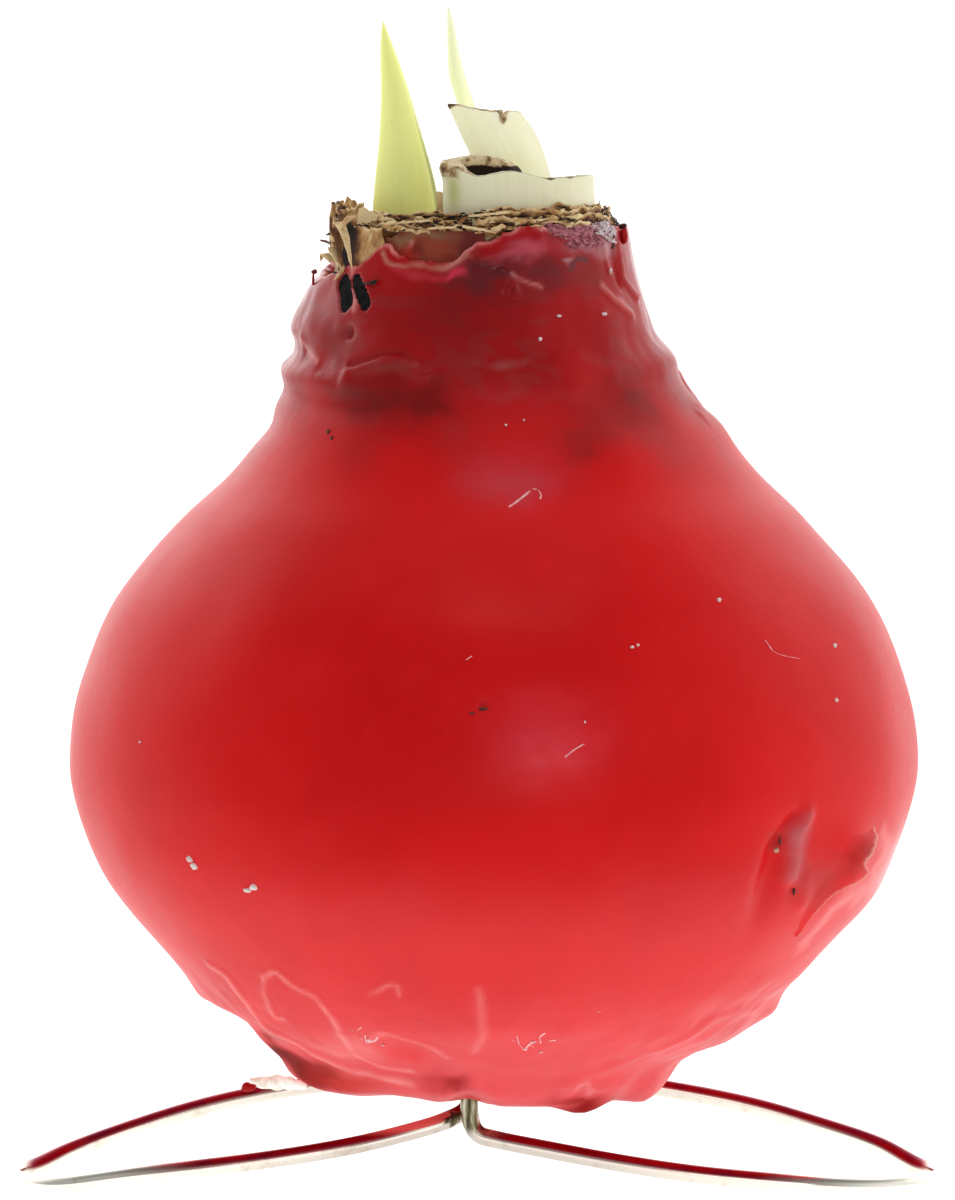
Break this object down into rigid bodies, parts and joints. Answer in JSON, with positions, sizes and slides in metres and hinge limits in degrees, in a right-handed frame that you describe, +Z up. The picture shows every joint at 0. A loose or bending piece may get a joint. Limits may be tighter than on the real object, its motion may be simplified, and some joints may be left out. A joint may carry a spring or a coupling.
{
  "type": "amaryllis bulb",
  "caption": "Amaryllis bulb dipped in red wax, with cut leaves, torn dry scales and new leaf tips at its neck, standing on a looped foot bent from bright wire.",
  "frame": {"origin": "on the surface that the wire foot stands on, under the middle of the foot", "axes": "+Z up, +X along the foot to the right as the picture shows it, -Y towards the viewer"},
  "size_m": [0.1046, 0.0934, 0.1301],
  "materials": {
    "wax": "red wax with a soft shine",
    "flesh": "matt cream bulb flesh",
    "leaf": "smooth yellow-green new leaf",
    "cut_leaf": "pale green leaf with a dried brown cut edge",
    "dry_scale": "papery brown",
    "pale_scale": "papery off-white",
    "wire": "bright drawn wire"
  },
  "bodies": {
    "root": {"wax_coat": "wax", "bulb": "flesh", "leaf_left": "leaf", "leaf_back": "leaf", "cut_leaf_upper": "cut_leaf", "cut_leaf_lower": "cut_leaf", "dry_scale_front_left": "dry_scale", "dry_scale_front_right": "dry_scale", "dry_scale_right": "dry_scale", "dry_scale_back": "dry_scale", "torn_scale_left": "dry_scale", "scale_scrap": "pale_scale", "wire_stand": "wire"}
  },
  "joints": []
}
